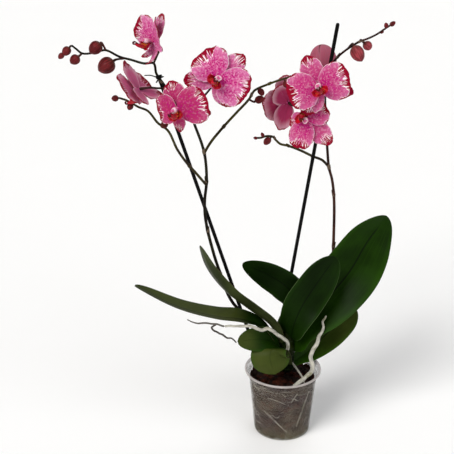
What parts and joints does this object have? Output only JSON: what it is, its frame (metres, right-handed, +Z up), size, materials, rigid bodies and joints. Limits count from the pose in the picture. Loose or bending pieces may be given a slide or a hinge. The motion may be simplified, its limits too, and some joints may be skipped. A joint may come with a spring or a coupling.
{
  "type": "potted orchid",
  "caption": "Moth orchid growing in bark in a clear tapered pot, with staked branching flower spikes, open flowers, buds, strap leaves and aerial roots.",
  "frame": {"origin": "centre of the pot's flat base, on the surface it stands on", "axes": "+Z up out of the pot, -Y towards the side the flowers face, +X to that viewer's right"},
  "size_m": [0.4855, 0.1493, 0.6669],
  "materials": {
    "clear_plastic": "clear plastic, slightly frosted, with a whitish rim",
    "bark": "chunks of moist dark red-brown bark",
    "root": "matt silver-grey to tan spongy root skin",
    "stake": "black, smooth",
    "clip": "black",
    "leaf": "waxy dark green, paler and olive underneath",
    "stem": "smooth dark green to red-brown",
    "sepal": "soft matt magenta-pink with crimson tips and white teeth",
    "petal": "soft matt pink, dotted, with pale toothed rims and crimson feathering",
    "lip": "waxy dark crimson with orange-yellow stripes",
    "bud": "satin dark maroon with olive tints",
    "half_open": "satin dull dark pink with keels"
  },
  "bodies": {
    "root": {"pot": "clear_plastic", "bark_medium": "bark", "crown": "stem", "left_stake": "stake", "right_stake": "stake", "leaf_right_large": "leaf", "leaf_right_low": "leaf", "leaf_upright": "leaf", "leaf_back_left": "leaf", "leaf_left_narrow": "leaf", "leaf_left_long": "leaf", "leaf_front_left": "leaf", "leaf_front_curled": "leaf", "aerial_root_left": "root", "aerial_root_right": "root", "surface_root": "root", "pot_root_upper": "root", "pot_root_lower": "root", "left_flower_spike": "stem", "right_flower_spike": "stem", "stem_clip": "clip", "left_spike_low_branch": "stem", "left_spike_high_branch": "stem", "right_spike_side_branch": "stem", "flower_1_sepals": "sepal", "flower_1_petals": "petal", "flower_1_lip": "lip", "flower_2_sepals": "sepal", "flower_2_petals": "petal", "flower_2_lip": "lip", "flower_3_sepals": "sepal", "flower_3_petals": "petal", "flower_3_lip": "lip", "flower_4_sepals": "sepal", "flower_4_petals": "petal", "flower_4_lip": "lip", "flower_5_sepals": "sepal", "flower_5_petals": "petal", "flower_5_lip": "lip", "flower_6_sepals": "sepal", "flower_6_petals": "petal", "flower_6_lip": "lip", "flower_7_sepals": "sepal", "flower_7_petals": "petal", "flower_7_lip": "lip", "bud_left_1": "bud", "bud_left_2": "bud", "bud_left_3": "bud", "bud_left_4": "bud", "bud_low_1": "bud", "bud_low_2": "bud", "bud_low_3": "bud", "bud_high_1": "bud", "bud_high_2": "bud", "bud_high_3": "bud", "bud_right_1": "bud", "bud_right_2": "bud", "bud_side": "bud", "half_open_flower": "half_open"}
  },
  "joints": []
}
